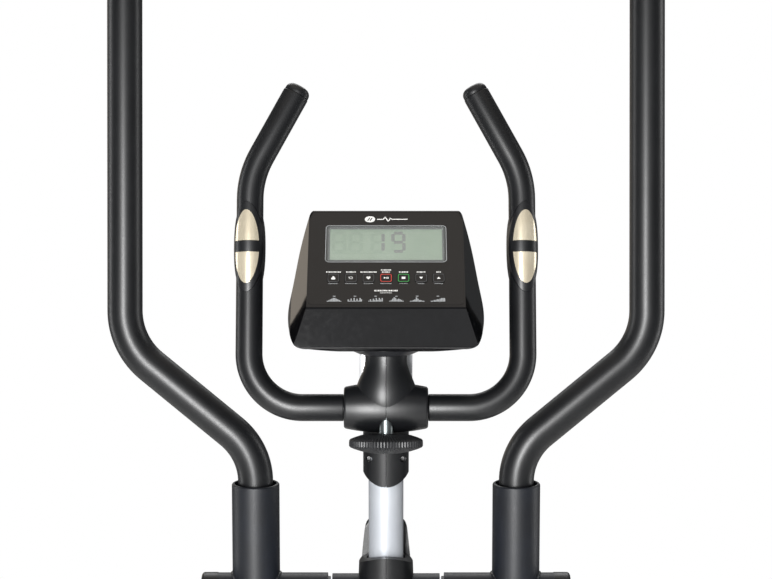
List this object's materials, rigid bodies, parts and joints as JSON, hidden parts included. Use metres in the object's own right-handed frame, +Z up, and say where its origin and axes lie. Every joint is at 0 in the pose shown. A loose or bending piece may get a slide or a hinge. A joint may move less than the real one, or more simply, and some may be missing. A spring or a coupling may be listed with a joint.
{
  "type": "elliptical trainer",
  "caption": "Rear-drive elliptical trainer with swinging and fixed handlebars, sloped display console, clamp knob, ribbed foot pedals, crank, belt drive and flywheel on a floor frame.",
  "frame": {"origin": "on the floor, at the middle of the machine's length and width", "axes": "+Z up; +Y forwards, the way the rider faces; +X to the rider's right"},
  "size_m": [0.618, 1.439, 1.6652],
  "materials": {
    "silver_steel": "satin powder coat",
    "black_steel": "satin powder coat",
    "gloss_black": "gloss ABS",
    "satin_black": "moulded, fine grain",
    "foam": "closed-cell foam",
    "bright_steel": "zinc plated",
    "polished_plate": "polished",
    "clear_window": "clear acrylic",
    "display": "liquid crystal glass",
    "green_board": "solder mask",
    "nylon": "moulded nylon",
    "cast_iron": "turned and oiled",
    "belt_rubber": "ribbed",
    "wheel_rubber": "moulded tread"
  },
  "bodies": {
    "root": {"base_frame": "silver_steel", "circuit_board": "green_board", "console_bezel": "gloss_black", "console_bracket": "black_steel", "console_fascia": "gloss_black", "console_rear_shell": "gloss_black", "display_module": "display", "display_window": "clear_window", "drive_bearings": "bright_steel", "drive_belt": "belt_rubber", "handlebar_clamp": "bright_steel", "head_cover_left": "gloss_black", "head_cover_right": "gloss_black", "lower_mast_covers": "gloss_black", "mast_post": "silver_steel", "mast_tube": "silver_steel", "pivot_axle": "bright_steel", "pivot_housing": "black_steel", "rear_housing_left": "gloss_black", "rear_housing_right": "gloss_black", "stabiliser_end_caps": "satin_black", "stabiliser_tubes": "silver_steel"},
    "crank": {"crank_arms": "black_steel", "crank_axle": "bright_steel", "crank_discs": "satin_black", "drive_pulley": "satin_black"},
    "flywheel": {"flywheel": "cast_iron", "flywheel_axle": "bright_steel"},
    "brake": {"brake_bracket": "black_steel"},
    "left_arm": {"left_lower_arm": "black_steel", "left_handle_tube": "black_steel", "left_handle_foam": "foam", "left_arm_bushes": "nylon", "left_arm_caps": "satin_black"},
    "right_arm": {"right_lower_arm": "black_steel", "right_handle_tube": "black_steel", "right_handle_foam": "foam", "right_arm_bushes": "nylon", "right_arm_caps": "satin_black"},
    "left_pedal": {"left_pedal_tube": "black_steel", "left_tube_pins": "bright_steel", "left_foot_pedal": "satin_black"},
    "right_pedal": {"right_pedal_tube": "black_steel", "right_tube_pins": "bright_steel", "right_foot_pedal": "satin_black"},
    "handlebar": {"handlebar_tube": "black_steel", "handlebar_foams": "foam", "handlebar_plugs": "satin_black", "pulse_sensor_shells": "gloss_black", "pulse_sensor_plates": "polished_plate"},
    "knob": {"clamp_knob": "satin_black"},
    "left_wheel": {"transport_wheel_left": "wheel_rubber"},
    "right_wheel": {"transport_wheel_right": "wheel_rubber"},
    "key_assess": {"key_assess": "gloss_black"},
    "key_down": {"key_down": "gloss_black"},
    "key_mode": {"key_mode": "gloss_black"},
    "key_recovery": {"key_recovery": "gloss_black"},
    "key_reset": {"key_reset": "gloss_black"},
    "key_start_stop": {"key_start_stop": "gloss_black"},
    "key_up": {"key_up": "gloss_black"}
  },
  "joints": [
    {"name": "crank_spin", "type": "hinge", "parent": "root", "child": "crank", "pos_m": [0, -0.335, 0.3], "axis": [1, 0, 0], "continuous": true},
    {"name": "flywheel_spin", "type": "hinge", "parent": "root", "child": "flywheel", "pos_m": [0, -0.575, 0.28], "axis": [1, 0, 0], "continuous": true},
    {"name": "brake_swing", "type": "hinge", "parent": "root", "child": "brake", "pos_m": [0, -0.464, 0.196], "axis": [1, 0, 0], "range_deg": [0, 7]},
    {"name": "left_arm_swing", "type": "hinge", "parent": "root", "child": "left_arm", "pos_m": [0, 0.52, 0.93], "axis": [1, 0, 0], "range_deg": [-16.6, 16.6]},
    {"name": "right_arm_swing", "type": "hinge", "parent": "root", "child": "right_arm", "pos_m": [0, 0.52, 0.93], "axis": [1, 0, 0], "range_deg": [-16.6, 16.6]},
    {"name": "left_pedal_pivot", "type": "hinge", "parent": "left_arm", "child": "left_pedal", "pos_m": [0, 0.55302, 0.29986], "axis": [1, 0, 0], "range_deg": [-16.6, 16.6]},
    {"name": "right_pedal_pivot", "type": "hinge", "parent": "right_arm", "child": "right_pedal", "pos_m": [0, 0.55302, 0.29986], "axis": [1, 0, 0], "range_deg": [-16.6, 16.6]},
    {"name": "handlebar_tilt", "type": "hinge", "parent": "root", "child": "handlebar", "pos_m": [0, 0.427, 1.1525], "axis": [1, 0, 0], "range_deg": [-12, 12]},
    {"name": "knob_turn", "type": "hinge", "parent": "root", "child": "knob", "pos_m": [0, 0.408, 1.1169], "axis": [0, 0.1045, 0.9945], "continuous": true},
    {"name": "left_wheel_roll", "type": "hinge", "parent": "root", "child": "left_wheel", "pos_m": [-0.24, 0.694, 0.029], "axis": [1, 0, 0], "continuous": true},
    {"name": "right_wheel_roll", "type": "hinge", "parent": "root", "child": "right_wheel", "pos_m": [0.24, 0.694, 0.029], "axis": [1, 0, 0], "continuous": true},
    {"name": "key_assess_press", "type": "slide", "parent": "root", "child": "key_assess", "axis": [0, 0.6694, -0.7429], "range_m": [0, 0.0005], "stiffness_N_per_m": 400},
    {"name": "key_down_press", "type": "slide", "parent": "root", "child": "key_down", "axis": [0, 0.6694, -0.7429], "range_m": [0, 0.0005], "stiffness_N_per_m": 400},
    {"name": "key_mode_press", "type": "slide", "parent": "root", "child": "key_mode", "axis": [0, 0.6694, -0.7429], "range_m": [0, 0.0005], "stiffness_N_per_m": 400},
    {"name": "key_recovery_press", "type": "slide", "parent": "root", "child": "key_recovery", "axis": [0, 0.6694, -0.7429], "range_m": [0, 0.0005], "stiffness_N_per_m": 400},
    {"name": "key_reset_press", "type": "slide", "parent": "root", "child": "key_reset", "axis": [0, 0.6694, -0.7429], "range_m": [0, 0.0005], "stiffness_N_per_m": 400},
    {"name": "key_start_stop_press", "type": "slide", "parent": "root", "child": "key_start_stop", "axis": [0, 0.6694, -0.7429], "range_m": [0, 0.0005], "stiffness_N_per_m": 400},
    {"name": "key_up_press", "type": "slide", "parent": "root", "child": "key_up", "axis": [0, 0.6694, -0.7429], "range_m": [0, 0.0005], "stiffness_N_per_m": 400}
  ],
  "couplings": [
    {"joint": "flywheel_spin", "follows": "crank_spin", "ratio": 6.5},
    {"joint": "right_arm_swing", "follows": "left_arm_swing", "ratio": -1},
    {"joint": "left_pedal_pivot", "follows": "left_arm_swing", "ratio": -1},
    {"joint": "right_pedal_pivot", "follows": "left_arm_swing", "ratio": 1}
  ]
}
